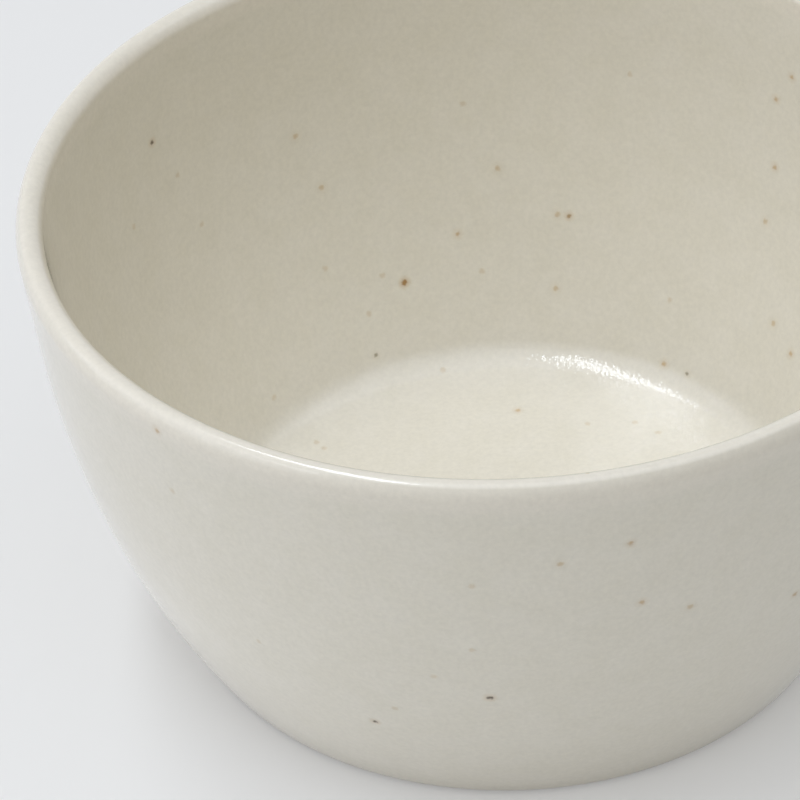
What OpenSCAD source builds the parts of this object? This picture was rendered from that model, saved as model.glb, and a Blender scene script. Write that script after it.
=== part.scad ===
// Handleless stoneware soup cup: one clay body with a turned foot ring,
// a poured glaze inside and a dipped glaze outside that stops short of the foot.

/* [Cup] */
// Outside width across the lip, glaze included
rim_diameter = 115; // [96:1:138]
// Height from the table to the top of the lip
cup_height = 60.3; // [50:0.1:73]
// Width at which the line of the outer wall would meet the table
base_diameter = 82; // [68:1:98]

/* [Wall] */
// Thickness across the rounded crown of the lip, glaze included
lip_thickness = 2.6; // [2.2:0.1:3.6]
// Radius of the softer curve that eases the lip into the outer wall
lip_ease = 6; // [3:0.5:9]
// Depth below the middle of the lip over which the wall runs straight
straight_depth = 12; // [6:0.5:18]
// Inward lean of the outer wall under the lip, in degrees
outer_lean = 6; // [3:0.5:6.5]
// Inward lean of the inner wall under the lip, in degrees
inner_lean = 6.6; // [3:0.1:8]
// Thickness of the wall where it reaches the floor, glaze included
base_wall = 4.8; // [3:0.1:6]

/* [Floor] */
// Height of the inside floor above the table
floor_height = 4; // [3.6:0.1:7]
// Radius of the curve from the inner wall to the floor
floor_curve = 7; // [4:0.5:14]

/* [Foot] */
// Radius of the heel, where the wall turns under
heel_radius = 2.2; // [1.2:0.1:3.5]
// Width of the flat ring that stands on the table
foot_width = 4; // [2.5:0.1:6]
// Depth of the hollow inside the foot ring
foot_hollow = 1.4; // [0.6:0.1:2]
// Radius of the inner edge of the foot ring
foot_edge = 0.6; // [0.3:0.1:1]

/* [Glaze] */
// Thickness of the glaze
glaze_thickness = 0.35; // [0.2:0.05:0.5]
// Height above the table at which the outer glaze stops
glaze_line = 0.4; // [0.2:0.1:1.5]

/* [Hidden] */
$fn = 128;

// Steps along each round stretch of the outline
lip_steps = 8;
ease_steps = 4;
wall_steps = 14;
curve_steps = 10;
heel_steps = 8;

// The outline lies in the plane of radius and height.
// A wall of lean a faces out along [cos(a), -sin(a)] and runs down along [-sin(a), -cos(a)].
function facing(a) = [cos(a), -sin(a)];
function downhill(a) = [-sin(a), -cos(a)];
// Points of an arc between two leans; skip drops the first where the run before it already ends there
function arc(centre, r, from, to, steps, skip = 0) =
    [for (i = [skip : steps]) centre + r * facing(from + (to - from) * i / steps)];
// Radius of the arc that leaves a point at a given lean and passes through a second point
function arc_radius(from, to, lean) =
    norm(from - to) / (2 * sin(chord_lean(from, to) - lean));
function chord_lean(from, to) = atan2(from.x - to.x, from.y - to.y);
// Middle of a small arc of radius r that lies inside a big arc and touches it, at a given height
function nested_centre(big_centre, big_r, r, height) =
    [big_centre.x + sqrt((big_r - r) ^ 2 - (big_centre.y - height) ^ 2), height];
function lean_between(big_centre, small_centre) =
    atan2(big_centre.y - small_centre.y, small_centre.x - big_centre.x);

// Lip: round crown, with the softer curve on the outside set to reach the full rim diameter
lip_r = lip_thickness / 2;
crown = -90;
ease_lean = -13;
ease_reach = (lip_ease - lip_r) * facing(ease_lean);
lip_centre = [rim_diameter / 2 - lip_ease + ease_reach.x, cup_height - lip_r];
ease_centre = lip_centre - ease_reach;
ease_end = ease_centre + lip_ease * facing(outer_lean);

// Outer wall: straight under the lip, then one arc to the table, cut short by the heel
outer_bend = ease_end
    + (ease_end.y - lip_centre.y + straight_depth) / cos(outer_lean) * downhill(outer_lean);
base_corner = [base_diameter / 2, 0];
outer_r = arc_radius(outer_bend, base_corner, outer_lean);
outer_centre = outer_bend - outer_r * facing(outer_lean);

// Heel: concentric arcs for clay and glaze, with the clay touching the table
heel_centre = nested_centre(outer_centre, outer_r - glaze_thickness, heel_radius, heel_radius);
heel_lean = lean_between(outer_centre, heel_centre);

// Inner wall: straight under the lip, then one arc to the floor, cut short by the floor curve
inner_bend = lip_centre - lip_r * facing(inner_lean)
    + (straight_depth + lip_r * sin(inner_lean)) / cos(inner_lean) * downhill(inner_lean);
lean_at_floor = asin((outer_centre.y - floor_height) / outer_r);
floor_corner = [
    outer_centre.x + outer_r * cos(lean_at_floor) - base_wall / cos(lean_at_floor),
    floor_height
];
inner_r = arc_radius(inner_bend, floor_corner, inner_lean);
inner_centre = inner_bend - inner_r * facing(inner_lean);
curve_centre = nested_centre(inner_centre, inner_r, floor_curve, floor_height + floor_curve);
curve_lean = lean_between(inner_centre, curve_centre);

// Foot ring: flat ring, rounded inner edge and a sloped side up to the hollow
foot_inner = heel_centre.x - foot_width;
hollow_slope = 45;
edge_centre = [foot_inner, foot_edge];
hollow_side = edge_centre - foot_edge * facing(-hollow_slope);
hollow_rise = foot_hollow - hollow_side.y;

// Outside outline from the crown of the lip to the foot, sunk below the finished surface
function outside(sunk) = concat(
    arc(lip_centre, lip_r - sunk, crown, ease_lean, lip_steps),
    arc(ease_centre, lip_ease - sunk, ease_lean, outer_lean, ease_steps, skip = 1),
    arc(outer_centre, outer_r - sunk, outer_lean, heel_lean, wall_steps),
    arc(heel_centre, heel_radius + glaze_thickness - sunk, heel_lean, 90, heel_steps, skip = 1)
);

// Inside outline from the crown of the lip to the middle of the floor, sunk below the finished surface
function inside(sunk) = concat(
    arc(lip_centre, lip_r - sunk, crown, inner_lean - 180, lip_steps),
    arc(inner_centre, inner_r + sunk, inner_lean, curve_lean, wall_steps),
    arc(curve_centre, floor_curve + sunk, curve_lean, 90, curve_steps, skip = 1),
    [[0, floor_height - sunk]]
);

// Underside outline from the foot ring to the middle of the hollow
function underside() = concat(
    arc(edge_centre, foot_edge, 90, 180 - hollow_slope, lip_steps),
    [
        hollow_side + hollow_rise * [-1 / tan(hollow_slope), 1],
        [0, foot_hollow]
    ]
);

function backwards(points, skip = 0) = [for (i = [len(points) - 1 : -1 : skip]) points[i]];

module clay_body() {
    color("#c8b79d")
        rotate_extrude()
            polygon(concat(
                outside(glaze_thickness),
                underside(),
                backwards(inside(glaze_thickness), skip = 1)
            ));
}

module glaze_inside() {
    color("#d9d5c6")
        rotate_extrude()
            polygon(concat(inside(0), backwards(inside(glaze_thickness))));
}

module glaze_outside() {
    color("#d5d2c6")
        rotate_extrude()
            intersection() {
                polygon(concat(outside(0), backwards(outside(glaze_thickness))));
                translate([0, glaze_line])
                    square([rim_diameter, cup_height]);
            }
}

clay_body();
glaze_inside();
glaze_outside();
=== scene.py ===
import bpy
import numpy as np
from mathutils import Matrix, Vector


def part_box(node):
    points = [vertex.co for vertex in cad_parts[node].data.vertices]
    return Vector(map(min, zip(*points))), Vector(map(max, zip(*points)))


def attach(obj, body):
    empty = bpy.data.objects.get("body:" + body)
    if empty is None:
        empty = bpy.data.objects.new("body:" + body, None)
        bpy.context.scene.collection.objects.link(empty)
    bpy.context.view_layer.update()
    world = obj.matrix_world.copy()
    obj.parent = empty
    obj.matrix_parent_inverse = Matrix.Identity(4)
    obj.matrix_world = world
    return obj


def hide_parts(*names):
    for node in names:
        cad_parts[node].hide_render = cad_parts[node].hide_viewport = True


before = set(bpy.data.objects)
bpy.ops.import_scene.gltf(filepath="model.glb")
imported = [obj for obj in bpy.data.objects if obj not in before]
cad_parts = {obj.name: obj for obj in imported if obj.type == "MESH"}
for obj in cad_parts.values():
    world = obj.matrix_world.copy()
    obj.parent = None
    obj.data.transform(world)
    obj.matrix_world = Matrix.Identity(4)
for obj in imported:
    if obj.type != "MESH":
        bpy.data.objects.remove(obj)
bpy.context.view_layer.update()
mm = 0.001
print("frame loaded:", ", ".join(sorted(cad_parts)))


# The cup's outline, in millimetres, in the plane of radius and height
cupShape = {
    "rimDiameter": 2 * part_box("glaze_outside")[1][0] / mm,
    "cupHeight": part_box("glaze_outside")[1][2] / mm,
    "baseDiameter": 82.0,     # where the line of the outer wall would meet the table
    "lipInner": 2.0,          # radius from the crown into the inner wall
    "lipOuter": 0.9,          # radius from the crown outward
    "lipEase": 2.8,           # radius of the softer curve from there into the outer wall
    "easeLean": -35.0,        # degrees, where that curve takes over
    "straightDepth": 13.15,   # below the crown, down to the bend where the walls start to curve
    "outerLean": 6.0,         # degrees, just under the lip
    "innerLean": 6.6,
    "baseWall": 4.8,          # thickness of the wall at the floor
    "floorHeight": 4.0,
    "floorCurve": 5.5,        # radius from the inner wall to the floor
    "dishSlope": 14.0,        # degrees of slope at which that curve eases into the dished floor
    "dishRadius": 24.0,
    "heelRadius": 2.2,
    "footWidth": 4.0,
    "footHollow": 1.4,
    "footEdge": 0.6,
    "hollowSlope": 45.0,      # degrees
    "glaze": 0.35,
    "glazeStop": 40.0,        # degrees round the heel at which the outer glaze ends
}

# Steps round the cup and along each run of the outline
meshSteps = {
    "around": 256,
    "lipOuter": 30, "ease": 36, "outerSide": 8, "outerWall": 40, "heel": 10, "bead": 8,
    "floor": 10, "dish": 10, "curve": 20, "innerWall": 30, "innerSide": 8, "lipInner": 60,
    "ring": 4, "footEdge": 6, "slope": 4, "hollow": 24,
}

# Leans of a face that looks straight up and straight down
upLean = -90.0
downLean = 90.0


# A wall that leans a degrees inward faces out along (cos a, -sin a)
def facing(lean):
    lean = np.radians(lean)
    return np.stack([np.cos(lean), -np.sin(lean)], axis=-1)


# and runs down along (-sin a, -cos a)
def downhill(lean):
    lean = np.radians(lean)
    return np.stack([-np.sin(lean), -np.cos(lean)], axis=-1)


# Arc: centre plus radius times the facing of a lean that runs evenly from start to end.
# Returns points and outward facings; hollow turns the facings to the centre.
def arcRun(centre, radius, start, end, steps, hollow=False):
    lean = np.linspace(start, end, steps + 1)
    facings = facing(lean)
    return centre + radius * facings, -facings if hollow else facings


# Straight: points spaced evenly between two ends, all facing one way
def straightRun(start, end, normal, steps):
    along = np.linspace(0.0, 1.0, steps + 1)[:, None]
    points = np.asarray(start) * (1 - along) + np.asarray(end) * along
    return points, np.broadcast_to(np.asarray(normal, float), points.shape)


# The same run from its end to its start, facing the other way
def backwards(run):
    return run[0][::-1], -run[1][::-1]


# Radius of the arc that leaves a point at a lean and passes through a second point:
# half the chord over the sine of the angle between chord and lean
def arcRadius(start, end, lean):
    chord = start - end
    chordLean = np.arctan2(chord[0], chord[1])
    return np.hypot(*chord) / (2 * np.sin(chordLean - np.radians(lean)))


# Middle of a small arc that touches a big arc from inside, at a given height:
# the two middles are as far apart as the radii differ
def nestedCentre(bigCentre, bigRadius, radius, height):
    reach = np.sqrt((bigRadius - radius) ** 2 - (bigCentre[1] - height) ** 2)
    return np.array([bigCentre[0] + reach, height])


# Lean of the point where they touch: the slope of the line through both middles
def leanBetween(bigCentre, smallCentre):
    return np.degrees(np.arctan2(bigCentre[1] - smallCentre[1], smallCentre[0] - bigCentre[0]))


# Middles, radii and leans of the outline's arcs. The lip's arcs are set to reach the full rim and height.
# Each wall runs straight from the lip to the bend, then in one arc towards a corner at the base.
# The heel and the floor curve are nested in those arcs, and the dish carries on from the floor curve.
def cupOutline(shape):
    cup = dict(shape)
    lipInner, lipOuter, lipEase = shape["lipInner"], shape["lipOuter"], shape["lipEase"]
    easeReach = (lipEase - lipOuter) * facing(shape["easeLean"])
    crownAcross = shape["rimDiameter"] / 2 - lipEase + easeReach[0]
    cup["innerLipCentre"] = np.array([crownAcross, shape["cupHeight"] - lipInner])
    cup["outerLipCentre"] = np.array([crownAcross, shape["cupHeight"] - lipOuter])
    cup["easeCentre"] = cup["outerLipCentre"] - easeReach
    outerLean, innerLean = shape["outerLean"], shape["innerLean"]
    bendHeight = shape["cupHeight"] - shape["straightDepth"]
    outerTop = cup["easeCentre"] + lipEase * facing(outerLean)
    outerDrop = outerTop[1] - bendHeight
    outerBend = outerTop + outerDrop / np.cos(np.radians(outerLean)) * downhill(outerLean)
    baseCorner = np.array([shape["baseDiameter"] / 2, 0.0])
    cup["outerRadius"] = arcRadius(outerBend, baseCorner, outerLean)
    cup["outerCentre"] = outerBend - cup["outerRadius"] * facing(outerLean)
    heel = shape["heelRadius"]
    cup["heelCentre"] = nestedCentre(cup["outerCentre"], cup["outerRadius"] - shape["glaze"], heel, heel)
    cup["heelLean"] = leanBetween(cup["outerCentre"], cup["heelCentre"])
    innerTop = cup["innerLipCentre"] - lipInner * facing(innerLean)
    innerDrop = innerTop[1] - bendHeight
    innerBend = innerTop + innerDrop / np.cos(np.radians(innerLean)) * downhill(innerLean)
    floor, curve = shape["floorHeight"], shape["floorCurve"]
    leanAtFloor = np.arcsin((cup["outerCentre"][1] - floor) / cup["outerRadius"])
    wallAtFloor = cup["outerCentre"][0] + cup["outerRadius"] * np.cos(leanAtFloor)
    floorCorner = np.array([wallAtFloor - shape["baseWall"] / np.cos(leanAtFloor), floor])
    cup["innerRadius"] = arcRadius(innerBend, floorCorner, innerLean)
    cup["innerCentre"] = innerBend - cup["innerRadius"] * facing(innerLean)
    cup["curveCentre"] = nestedCentre(cup["innerCentre"], cup["innerRadius"], curve, floor + curve)
    cup["curveLean"] = leanBetween(cup["innerCentre"], cup["curveCentre"])
    cup["dishLean"] = downLean - shape["dishSlope"]
    cup["dishCentre"] = cup["curveCentre"] + (curve - shape["dishRadius"]) * facing(cup["dishLean"])
    return cup


outline = cupOutline(cupShape)


# Outside surface from the crown of the lip down to a stop on the heel, sunk below the finish
def outsideRuns(cup, sunk, stop):
    steps = meshSteps
    lipRadius, easeRadius = cup["lipOuter"] - sunk, cup["lipEase"] - sunk
    wallRadius, heelRadius = cup["outerRadius"] - sunk, cup["heelRadius"] + cup["glaze"] - sunk
    easeLean, wallLean, heelLean = cup["easeLean"], cup["outerLean"], cup["heelLean"]
    lip = arcRun(cup["outerLipCentre"], lipRadius, upLean, easeLean, steps["lipOuter"])
    ease = arcRun(cup["easeCentre"], easeRadius, easeLean, wallLean, steps["ease"])
    wall = arcRun(cup["outerCentre"], wallRadius, wallLean, heelLean, steps["outerWall"])
    heel = arcRun(cup["heelCentre"], heelRadius, heelLean, stop, steps["heel"])
    side = straightRun(ease[0][-1], wall[0][0], facing(wallLean), steps["outerSide"])
    return [lip, ease, side, wall, heel]


# Inside surface from the middle of the floor up to the crown of the lip, sunk below the finish
def insideRuns(cup, sunk):
    steps = meshSteps
    dishRadius, curveRadius = cup["dishRadius"] + sunk, cup["floorCurve"] + sunk
    wallRadius, lipRadius = cup["innerRadius"] + sunk, cup["lipInner"] - sunk
    dishLean, curveLean, wallLean = cup["dishLean"], cup["curveLean"], cup["innerLean"]
    dish = arcRun(cup["dishCentre"], dishRadius, downLean, dishLean, steps["dish"], hollow=True)
    curve = arcRun(cup["curveCentre"], curveRadius, dishLean, curveLean, steps["curve"], hollow=True)
    wall = arcRun(cup["innerCentre"], wallRadius, curveLean, wallLean, steps["innerWall"], hollow=True)
    lip = arcRun(cup["innerLipCentre"], lipRadius, wallLean - 180, upLean, steps["lipInner"])
    floor = straightRun((0, dish[0][0][1]), dish[0][0], (0, 1), steps["floor"])
    side = straightRun(wall[0][-1], lip[0][0], -facing(wallLean), steps["innerSide"])
    return [floor, dish, curve, wall, side, lip]


# Turned piece: each outline point (r, z) is carried round the axis, so a vertex is (r cos t, r sin t, z).
# The outline runs with its outward side on the left. It closes on itself, or ends on the axis at both ends.
def turnedMesh(name, runs, segments):
    points = [runs[0][0][:1]]
    segFrom, segTo = [], []
    for runPoints, runNormals in runs:
        points.append(runPoints[1:])
        segFrom.append(runNormals[:-1])
        segTo.append(runNormals[1:])
    points = np.concatenate(points)
    segFrom, segTo = np.concatenate(segFrom), np.concatenate(segTo)
    closed = np.allclose(points[0], points[-1])
    if closed:
        points = points[:-1]
    else:
        points[0, 0] = points[-1, 0] = 0.0
    turn = np.linspace(0, 2 * np.pi, segments, endpoint=False)
    around = np.stack([np.cos(turn), np.sin(turn)], axis=-1)
    rings = points if closed else points[1:-1]
    xy = rings[:, None, :1] * around[None]
    z = np.broadcast_to(rings[:, None, 1:], (len(rings), segments, 1))
    verts = np.concatenate([xy, z], axis=-1).reshape(-1, 3)
    here = np.arange(segments)
    there = (here + 1) % segments
    ringCount = len(rings)
    first = np.arange(ringCount if closed else ringCount - 1)
    second = (first + 1) % ringCount
    quads = np.stack([
        first[:, None] * segments + here, second[:, None] * segments + here,
        second[:, None] * segments + there, first[:, None] * segments + there,
    ], axis=-1).reshape(-1, 4)
    faces = quads.tolist()

    # a facing (out, up) carried round is (out cos t, out sin t, up);
    # each corner keeps its run's own, so runs meet softly or sharply as those say
    def spun(normals, steps):
        flat = normals[:, None, :1] * around[None, steps]
        up = np.broadcast_to(normals[:, None, 1:], flat.shape[:2] + (1,))
        return np.concatenate([flat, up], axis=-1)

    start, end = (segFrom, segTo) if closed else (segFrom[1:-1], segTo[1:-1])
    corners = np.stack([spun(start, here), spun(end, here), spun(end, there), spun(start, there)], axis=2)
    corners = [corners.reshape(-1, 3)]
    if not closed:
        startPole, endPole = len(verts), len(verts) + 1
        verts = np.vstack([verts, [[0, 0, points[0, 1]], [0, 0, points[-1, 1]]]])
        last = (ringCount - 1) * segments
        faces += np.stack([np.full(segments, startPole), here, there], axis=-1).tolist()
        faces += np.stack([last + here, np.full(segments, endPole), last + there], axis=-1).tolist()
        for poleNormal in (segFrom[0], segTo[-1]):
            corners.append(np.tile(np.append([0.0], poleNormal)[None], (3 * segments, 1)))
    mesh = bpy.data.meshes.new(name)
    mesh.from_pydata((verts * mm).tolist(), [], faces)
    mesh.polygons.foreach_set("use_smooth", np.ones(len(mesh.polygons), dtype=bool))
    mesh.update()
    mesh.normals_split_custom_set(np.concatenate(corners).tolist())
    piece = bpy.data.objects.new(name, mesh)
    bpy.context.scene.collection.objects.link(piece)
    print(name, len(mesh.polygons), "faces")
    return piece


# Materials

def startMaterial(name):
    material = bpy.data.materials.new(name)
    material.use_nodes = True
    tree = material.node_tree
    return material, tree, tree.nodes["Principled BSDF"]


# Adds a node, sets its properties, then links or sets each input by name or number
def addNode(tree, kind, inputs=None, **properties):
    node = tree.nodes.new(kind)
    for key, value in properties.items():
        setattr(node, key, value)
    for key, value in (inputs or {}).items():
        if isinstance(value, bpy.types.NodeSocket):
            tree.links.new(value, node.inputs[key])
        else:
            node.inputs[key].default_value = value
    return node


# A value carried from one range to another, evenly or softly, and held at both ends
def mapRange(tree, value, fromMin, fromMax, toMin=0.0, toMax=1.0, smooth=False):
    node = addNode(tree, "ShaderNodeMapRange", interpolation_type="SMOOTHSTEP" if smooth else "LINEAR")
    tree.links.new(value, node.inputs[0])
    for number, bound in enumerate((fromMin, fromMax, toMin, toMax), start=1):
        node.inputs[number].default_value = bound
    return node.outputs[0]


# Two colours blended by a factor. A Mix node has its colours on sockets 6 and 7, and the result on 2.
def mixColour(tree, factor, a, b):
    node = addNode(tree, "ShaderNodeMix", {0: factor}, data_type="RGBA")
    for key, value in ((6, a), (7, b)):
        if isinstance(value, bpy.types.NodeSocket):
            tree.links.new(value, node.inputs[key])
        else:
            node.inputs[key].default_value = (*value, 1.0)
    return node.outputs[2]


# Two values put through a Math node
def calc(tree, operation, a, b):
    return addNode(tree, "ShaderNodeMath", {0: a, 1: b}, operation=operation).outputs[0]


# The same for vectors
def vectorCalc(tree, operation, inputs, output=0):
    return addNode(tree, "ShaderNodeVectorMath", inputs, operation=operation).outputs[output]


# Noise at a texture's scale, detail and roughness
def noise(tree, coords, texture, output="Fac"):
    node = addNode(tree, "ShaderNodeTexNoise", {"Vector": coords, "Scale": texture["scale"]})
    node.inputs["Detail"].default_value = texture["detail"]
    node.inputs["Roughness"].default_value = texture["roughness"]
    return node.outputs[output]


# Scales are per metre; bands, fades and depths are in millimetres
glazeLook = {
    "cream": (0.806, 0.763, 0.662),
    "deepCream": (0.786, 0.743, 0.635),
    "mottle": {"scale": 240.0, "detail": 4.0, "roughness": 0.6},
    "mottleRange": (0.35, 0.65),
    "lipColour": (0.850, 0.796, 0.694),
    "lipBand": (4.5, 2.5),           # below the crown, where the lip's colour comes in
    "crownBand": (1.4, 0.4),         # below the crown, where its share goes from the first to the second
    "crownShare": (0.75, 0.55),
    "grain": {"scale": 1500.0, "detail": 3.0, "roughness": 0.6},
    "grainRange": (0.3, 0.7),
    "grainDepth": 0.034,             # lighter and darker by this share
    "roughness": 0.40,
    "baseGloss": 0.2,
    "coat": 1.0,
    "coatIor": 1.5,
    "coatRoughness": {"linerGlaze": 0.05, "outerGlaze": 0.09},
    "ripple": {"scale": 420.0, "detail": 2.0, "roughness": 0.5},
    "rippleDepth": {"linerGlaze": 0.03, "outerGlaze": 0.01},
    "peel": {"scale": 2000.0, "detail": 1.0, "roughness": 0.5},
    "peelDepth": {"linerGlaze": 0.052, "outerGlaze": 0.002},
    "peelFade": (10.0, 26.0),        # heights between which the peel fades to its rest
    "peelRest": 0.12,
}

# Iron specks, seen through the glaze: radius in millimetres, strength and halo from 0 to 1
speckTones = {
    "dark": {"colour": (0.10, 0.065, 0.03), "radius": 0.44, "strength": 0.95, "halo": 0.30},
    "brown": {"colour": (0.36, 0.19, 0.05), "radius": 0.46, "strength": 0.92, "halo": 0.45},
    "rust": {"colour": (0.36, 0.22, 0.08), "radius": 0.42, "strength": 0.78, "halo": 0.30},
    "grey": {"colour": (0.28, 0.24, 0.15), "radius": 0.38, "strength": 0.72, "halo": 0.10},
    "tan": {"colour": (0.55, 0.36, 0.15), "radius": 0.46, "strength": 0.64, "halo": 0.18},
    "sand": {"colour": (0.58, 0.42, 0.20), "radius": 0.54, "strength": 0.55, "halo": 0.08},
    "faint": {"colour": (0.60, 0.47, 0.28), "radius": 0.58, "strength": 0.40, "halo": 0.0},
}

# A speck is full within its core and its halo fades over a band, all in speck radii.
# The wobble, up to half its reach in millimetres, makes the round spots uneven.
speckShape = {
    "core": 0.25,
    "haloBand": (0.5, 2.4),
    "wobble": {"scale": 1900.0, "detail": 1.0, "roughness": 0.5},
    "wobbleReach": 0.5,
}

# Places: azimuth in degrees with the height on the wall, or with the distance from the axis on the floor.
# Two close places make one long speck.
linerSpecks = {
    "dark": {"wall": [(145.5, 47)], "floor": []},
    "brown": {"wall": [(107.2, 15), (107.4, 14.9)], "floor": []},
    "rust": {"wall": [(78.8, 22)], "floor": []},
    "grey": {"wall": [(52.3, 6.4), (115.5, 7.4)], "floor": []},
    "tan": {
        "wall": [(97.2, 19.9), (57.7, 6.5), (47.3, 44.5), (45.8, 35.4), (45, 48.5), (32.5, 15)],
        "floor": [(87, 28.2)],
    },
    "sand": {
        "wall": [(80.7, 22.1), (120.8, 37.5), (118.2, 29.6), (90.2, 28), (80.5, 12.9), (45.5, 28),
                 (38.5, 16.8)],
        "floor": [],
    },
    "faint": {
        "wall": [(114.8, 12.4), (139, 8.3), (93.5, 15), (120.5, 19.5), (111, 16.4), (59.5, 14), (95, 37),
                 (70.5, 42), (140, 32.5), (142, 40.5), (153.5, 39), (103, 4.5), (138, 3.7)],
        "floor": [(67, 27), (56, 30), (49, 30), (138.3, 32.2)],
    },
}
outerSpecks = {
    "dark": {"wall": [(-93.1, 25.1), (-93.4, 25.1), (-109.6, 16.9)], "floor": []},
    "tan": {"wall": [(-132.6, 58), (-76.6, 50.3), (-75, 40.3), (-53, 31.5)], "floor": []},
    "sand": {"wall": [(-84.6, 48.6), (-68.8, 37.4)], "floor": []},
    "faint": {
        "wall": [(-132, 49), (-100, 29), (-106, 21), (-124, 27.5), (-94.5, 45.5), (-95, 34.5)],
        "floor": [],
    },
}

# Specks strewn at random over the rest: the spot is in cell sizes,
# and the start is where they come in along y, in millimetres
strewnSpecks = {
    "scale": 140.0,
    "spot": (0.02, 0.062),
    "strength": 0.8,
    "tintRange": (0.3, 0.9),         # from faint to brown
    "start": {"linerGlaze": (-2.0, -8.0), "outerGlaze": (-14.0, -8.0)},
}


# Speck places in metres: the radius at a height is read off the finished outline
def speckPoints(places, runs):
    outlinePoints = np.concatenate([run[0] for run in runs])
    outlinePoints = outlinePoints[np.argsort(outlinePoints[:, 1])]
    points = []
    for azimuth, height in places["wall"]:
        points.append((azimuth, np.interp(height, outlinePoints[:, 1], outlinePoints[:, 0]), height))
    for azimuth, distance in places["floor"]:
        points.append((azimuth, distance, outlinePoints[0, 1]))
    turn = np.radians([p[0] for p in points])
    radius, height = np.array([p[1] for p in points]), np.array([p[2] for p in points])
    return np.stack([radius * np.cos(turn), radius * np.sin(turn), height], axis=-1) * mm


# Specks of one tone: the distance to the nearest place, turned into a soft round spot in a wider faint halo
def addSpecks(tree, colour, coords, points, tone):
    nearest = None
    for point in points:
        gap = vectorCalc(tree, "DISTANCE", {0: coords, 1: tuple(point)}, "Value")
        nearest = gap if nearest is None else calc(tree, "MINIMUM", nearest, gap)
    radius = tone["radius"] * mm
    if tone["halo"]:
        haloFrom, haloTo = speckShape["haloBand"]
        halo = mapRange(tree, nearest, radius * haloFrom, radius * haloTo, tone["halo"], 0.0, smooth=True)
        colour = mixColour(tree, halo, colour, speckTones["tan"]["colour"])
    core = mapRange(tree, nearest, radius * speckShape["core"], radius, tone["strength"], 0.0, smooth=True)
    return mixColour(tree, core, colour, tone["colour"])


# Random specks: the distance to the nearest cell's middle, turned into a soft spot in that cell's tint
def strewSpecks(tree, colour, coords, y, name):
    look = strewnSpecks
    startFrom, startTo = look["start"][name]
    cells = addNode(tree, "ShaderNodeTexVoronoi", {"Vector": coords, "Scale": look["scale"]}).outputs
    spots = mapRange(tree, cells["Distance"], *look["spot"], look["strength"], 0.0, smooth=True)
    present = mapRange(tree, y, startFrom * mm, startTo * mm)
    tint = addNode(tree, "ShaderNodeSeparateColor", {0: cells["Color"]}).outputs[0]
    tint = mapRange(tree, tint, *look["tintRange"])
    spotColour = mixColour(tree, tint, speckTones["faint"]["colour"], speckTones["brown"]["colour"])
    return mixColour(tree, calc(tree, "MULTIPLY", spots, present), colour, spotColour)


# Share of the lip's colour by height: it comes in below the crown and thins again on top
def lipShare(tree, z):
    look = glazeLook
    crown = cupShape["cupHeight"]
    bandFrom, bandTo = [(crown - depth) * mm for depth in look["lipBand"]]
    topFrom, topTo = [(crown - depth) * mm for depth in look["crownBand"]]
    comesIn = mapRange(tree, z, bandFrom, bandTo, smooth=True)
    thins = mapRange(tree, z, topFrom, topTo, *look["crownShare"], smooth=True)
    return calc(tree, "MULTIPLY", comesIn, thins)


# Glaze: mottled cream, paler at the lip, with specks and a fine grain under a clear coat
def glazeMaterial(name, specks, runs):
    look = glazeLook
    material, tree, shader = startMaterial(name)
    coords = addNode(tree, "ShaderNodeTexCoord").outputs["Object"]
    place = addNode(tree, "ShaderNodeSeparateXYZ", {0: coords}).outputs
    mottle = mapRange(tree, noise(tree, coords, look["mottle"]), *look["mottleRange"])
    colour = mixColour(tree, mottle, look["deepCream"], look["cream"])
    colour = mixColour(tree, lipShare(tree, place["Z"]), colour, look["lipColour"])

    # specks, on coordinates that wobble
    reach = speckShape["wobbleReach"] * mm
    uneven = noise(tree, coords, speckShape["wobble"], "Color")
    wobble = vectorCalc(tree, "MULTIPLY_ADD", {0: uneven, 1: (reach,) * 3, 2: (-reach / 2,) * 3})
    spotted = vectorCalc(tree, "ADD", {0: coords, 1: wobble})
    for toneName, places in specks.items():
        colour = addSpecks(tree, colour, spotted, speckPoints(places, runs), speckTones[toneName])
    colour = strewSpecks(tree, colour, spotted, place["Y"], name)

    grain = noise(tree, coords, look["grain"])
    shade = mapRange(tree, grain, *look["grainRange"], 1 - look["grainDepth"], 1 + look["grainDepth"])
    shaded = vectorCalc(tree, "SCALE", {0: colour, "Scale": shade})
    tree.links.new(shaded, shader.inputs["Base Color"])
    shader.inputs["Roughness"].default_value = look["roughness"]
    shader.inputs["Specular IOR Level"].default_value = look["baseGloss"]
    shader.inputs["Coat Weight"].default_value = look["coat"]
    shader.inputs["Coat Roughness"].default_value = look["coatRoughness"][name]
    shader.inputs["Coat IOR"].default_value = look["coatIor"]

    # a soft ripple all through, and on the coat an orange peel that is strongest near the floor
    fadeFrom, fadeTo = look["peelFade"]
    ripple = noise(tree, coords, look["ripple"])
    peelShare = mapRange(tree, place["Z"], fadeFrom * mm, fadeTo * mm, 1.0, look["peelRest"], smooth=True)
    peel = calc(tree, "MULTIPLY", noise(tree, coords, look["peel"]), peelShare)
    rippleDepth, peelDepth = look["rippleDepth"][name] * mm, look["peelDepth"][name] * mm
    soft = addNode(tree, "ShaderNodeBump", {"Strength": 1.0, "Distance": rippleDepth, "Height": ripple})
    fine = addNode(tree, "ShaderNodeBump", {"Strength": 1.0, "Distance": peelDepth, "Height": peel})
    tree.links.new(soft.outputs[0], fine.inputs["Normal"])
    tree.links.new(soft.outputs[0], shader.inputs["Normal"])
    tree.links.new(fine.outputs[0], shader.inputs["Coat Normal"])
    return material


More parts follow.
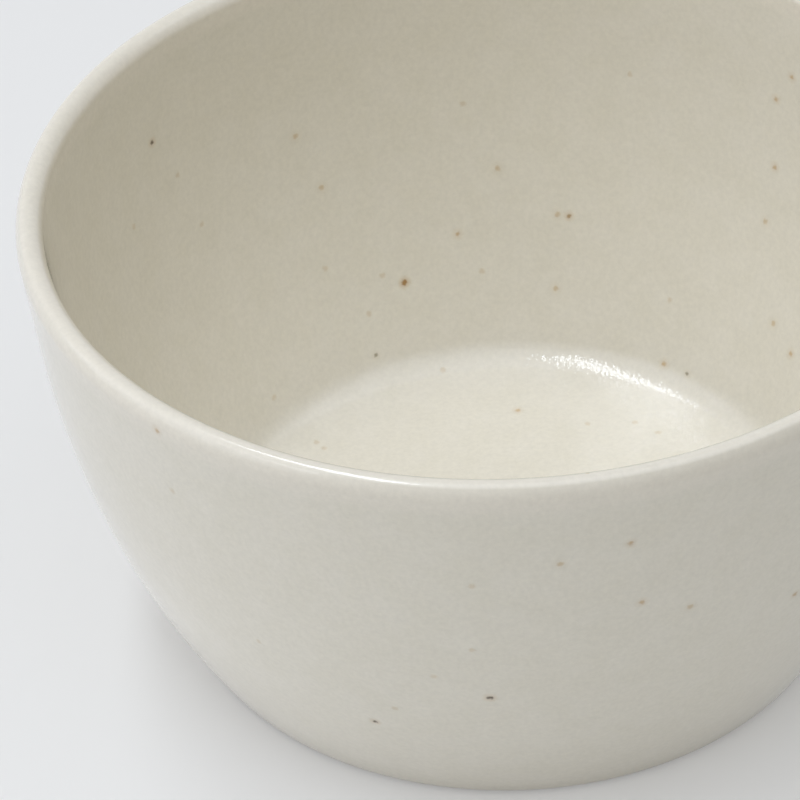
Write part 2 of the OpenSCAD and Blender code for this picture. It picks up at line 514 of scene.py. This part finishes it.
clayLook = {
    "buff": (0.46, 0.38, 0.28),
    "darkShare": 0.8,                # of the buff, in the darker grains
    "grain": {"scale": 1500.0, "detail": 4.0, "roughness": 0.7},
    "grainRange": (0.35, 0.65),
    "roughness": 0.85,
    "bump": 0.4,
    "bumpDepth": 0.2,                # millimetres
}


# Bare clay: buff, with a grain that is darker where it lies lower
def clayMaterial(name):
    look = clayLook
    material, tree, shader = startMaterial(name)
    coords = addNode(tree, "ShaderNodeTexCoord").outputs["Object"]
    grain = noise(tree, coords, look["grain"])
    dark = tuple(look["darkShare"] * c for c in look["buff"])
    colour = mixColour(tree, mapRange(tree, grain, *look["grainRange"]), dark, look["buff"])
    tree.links.new(colour, shader.inputs["Base Color"])
    shader.inputs["Roughness"].default_value = look["roughness"]
    bumpInputs = {"Strength": look["bump"], "Distance": look["bumpDepth"] * mm, "Height": grain}
    bump = addNode(tree, "ShaderNodeBump", bumpInputs)
    tree.links.new(bump.outputs[0], shader.inputs["Normal"])
    return material


# Pieces

# A turned piece with its material, the body it rides on and the node it stands for
def addPiece(name, runs, material, node):
    piece = turnedMesh(name, runs, meshSteps["around"])
    piece.data.materials.append(material)
    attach(piece, "root")
    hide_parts(node)


# Liner: the inside surface up to the crown, across the seam, and back along the clay
def glazeInsideRuns(cup):
    face = insideRuns(cup, 0.0)
    back = insideRuns(cup, cup["glaze"])
    crown, sunkCrown = face[-1][0][-1], back[-1][0][-1]
    seam = straightRun(crown, sunkCrown, (1, 0), 1)
    return face + [seam] + [backwards(run) for run in back[::-1]]


# Outer glaze: the outside surface down to a rounded bead on the heel, and back along the clay
def glazeOutsideRuns(cup):
    stop = cup["glazeStop"]
    face = outsideRuns(cup, 0.0, stop)
    back = outsideRuns(cup, cup["glaze"], stop)
    beadCentre = cup["heelCentre"] + (cup["heelRadius"] + cup["glaze"] / 2) * facing(stop)
    bead = arcRun(beadCentre, cup["glaze"] / 2, stop, stop + 180, meshSteps["bead"])
    seam = straightRun(back[0][0][0], face[0][0][0], (-1, 0), 1)
    return face + [bead] + [backwards(run) for run in back[::-1]] + [seam]


# Clay: both surfaces sunk by the glaze, then the foot ring, its sloped inner side and the hollow
def clayRuns(cup):
    steps = meshSteps
    slopeLean = 180 - cup["hollowSlope"]
    edgeCentre = np.array([cup["heelCentre"][0] - cup["footWidth"], cup["footEdge"]])
    outside = outsideRuns(cup, cup["glaze"], downLean)
    edge = arcRun(edgeCentre, cup["footEdge"], downLean, slopeLean, steps["footEdge"])
    ring = straightRun(outside[-1][0][-1], edge[0][0], (0, -1), steps["ring"])
    rise = cup["footHollow"] - edge[0][-1][1]
    corner = edge[0][-1] + rise * np.array([-1 / np.tan(np.radians(cup["hollowSlope"])), 1.0])
    slope = straightRun(edge[0][-1], corner, facing(slopeLean), steps["slope"])
    hollow = straightRun(corner, (0, cup["footHollow"]), (0, -1), steps["hollow"])
    return insideRuns(cup, cup["glaze"]) + outside + [ring, edge, slope, hollow]


linerFace = insideRuns(outline, 0.0)
outerFace = outsideRuns(outline, 0.0, cupShape["glazeStop"])
linerGlaze = glazeMaterial("linerGlaze", linerSpecks, linerFace)
outerGlaze = glazeMaterial("outerGlaze", outerSpecks, outerFace)
addPiece("clayBody", clayRuns(outline), clayMaterial("bareClay"), "clay_body")
addPiece("linerGlaze", glazeInsideRuns(outline), linerGlaze, "glaze_inside")
addPiece("outerGlaze", glazeOutsideRuns(outline), outerGlaze, "glaze_outside")
print("cup made")


# Floor: white, with a share of its paleness seen by the camera and in reflections only,
# so its shadow stays soft
floorLook = {
    "size": 6.0,
    "colour": (0.88, 0.88, 0.88),
    "roughness": 0.9,
    "pale": (0.78, 0.78, 0.78),
    "paleShare": 0.35,
}


# 1 for what the camera and reflections see, 0 for the light that falls on the cup
def seenRays(tree):
    rays = addNode(tree, "ShaderNodeLightPath").outputs
    return calc(tree, "MAXIMUM", rays["Is Camera Ray"], rays["Is Glossy Ray"])


def addFloor(look):
    half = look["size"] / 2
    corners = [(-half, -half, 0), (half, -half, 0), (half, half, 0), (-half, half, 0)]
    mesh = bpy.data.meshes.new("floor")
    mesh.from_pydata(corners, [], [(0, 1, 2, 3)])
    floor = bpy.data.objects.new("floor", mesh)
    bpy.context.scene.collection.objects.link(floor)
    material, tree, shader = startMaterial("paleFloor")
    shader.inputs["Base Color"].default_value = (*look["colour"], 1.0)
    shader.inputs["Roughness"].default_value = look["roughness"]
    glow = addNode(tree, "ShaderNodeEmission", {"Color": (*look["pale"], 1.0), "Strength": 1.0})
    share = calc(tree, "MULTIPLY", seenRays(tree), look["paleShare"])
    mix = addNode(tree, "ShaderNodeMixShader", {0: share, 1: shader.outputs[0], 2: glow.outputs[0]})
    tree.links.new(mix.outputs[0], tree.nodes["Material Output"].inputs["Surface"])
    mesh.materials.append(material)


addFloor(floorLook)


# Light: a bright strip soft box above on the left, a wide ceiling panel, a large weak panel on the left,
# a small low one there for the glint on the lip, and a warm room.
# Each lamp looks from its place to its aim.
lamps = {
    "softBox": {"place": (-0.255, 0.05, 0.95), "aim": (-0.255, 0.05, 0.0), "size": (0.15, 0.80),
                "power": 3.1, "colour": (0.95, 1.0, 1.08)},
    "ceiling": {"place": (0.28, -0.32, 1.7), "aim": (0.28, -0.32, 0.0), "size": (2.4, 2.2),
                "power": 13.3, "colour": (0.93, 1.0, 1.13)},
    "leftSide": {"place": (-1.3, -0.3, 0.75), "aim": (0.0, 0.0, 0.03), "size": (2.0, 1.4),
                 "power": 5.9, "colour": (0.94, 1.0, 1.15)},
    "lipGlint": {"place": (-0.86, -0.64, 0.545), "aim": (0.0, 0.0, 0.05), "size": (0.5, 0.16),
                 "power": 0.45, "colour": (1.0, 1.0, 1.0)},
}
room = {"colour": (1.06, 1.0, 0.82), "strength": 0.235, "backdrop": (0.82, 0.82, 0.84)}


def addLamp(name, look):
    lamp = bpy.data.lights.new(name, "AREA")
    lamp.shape = "RECTANGLE"
    lamp.size, lamp.size_y = look["size"]
    lamp.energy = look["power"]
    lamp.color = look["colour"]
    holder = bpy.data.objects.new(name, lamp)
    holder.location = look["place"]
    away = Vector(look["place"]) - Vector(look["aim"])
    holder.rotation_euler = away.to_track_quat("Z", "Y").to_euler()
    bpy.context.scene.collection.objects.link(holder)


# The warm fill lights the cup, and the plain backdrop is what the camera and reflections see
def addRoom(look):
    world = bpy.data.worlds.new("room")
    world.use_nodes = True
    bpy.context.scene.world = world
    tree = world.node_tree
    fill = tree.nodes["Background"]
    fill.inputs["Color"].default_value = (*look["colour"], 1.0)
    fill.inputs["Strength"].default_value = look["strength"]
    plain = addNode(tree, "ShaderNodeBackground", {"Color": (*look["backdrop"], 1.0), "Strength": 1.0})
    mix = addNode(tree, "ShaderNodeMixShader", {0: seenRays(tree), 1: fill.outputs[0], 2: plain.outputs[0]})
    tree.links.new(mix.outputs[0], tree.nodes["World Output"].inputs["Surface"])


for lampName, lampLook in lamps.items():
    addLamp(lampName, lampLook)
addRoom(room)


# Camera: long lens, looking down a little under 40 degrees
cameraLook = {
    "place": (0.0, -0.4069, 0.3476),
    "aim": (-0.0130, -0.0026, 0.0300),
    "roll": -2.97,            # degrees
    "lens": 189.0,
    "sensor": 36.0,
    "nearest": 0.01,
}


# Ahead runs from place to aim and right lies level, then right and up are turned by the roll
def addCamera(look):
    data = bpy.data.cameras.new("camera")
    data.lens = look["lens"]
    data.sensor_width = look["sensor"]
    data.clip_start = look["nearest"]
    camera = bpy.data.objects.new("camera", data)
    ahead = (Vector(look["aim"]) - Vector(look["place"])).normalized()
    right = ahead.cross(Vector((0, 0, 1))).normalized()
    up = right.cross(ahead)
    turn = np.radians(look["roll"])
    rightRolled = right * np.cos(turn) + up * np.sin(turn)
    upRolled = rightRolled.cross(ahead)
    axes = Matrix((rightRolled, upRolled, -ahead)).transposed().to_4x4()
    camera.matrix_world = Matrix.Translation(look["place"]) @ axes
    bpy.context.scene.collection.objects.link(camera)
    bpy.context.scene.camera = camera


addCamera(cameraLook)
bpy.context.scene.view_settings.view_transform = "Standard"
print("stage, light and camera set")
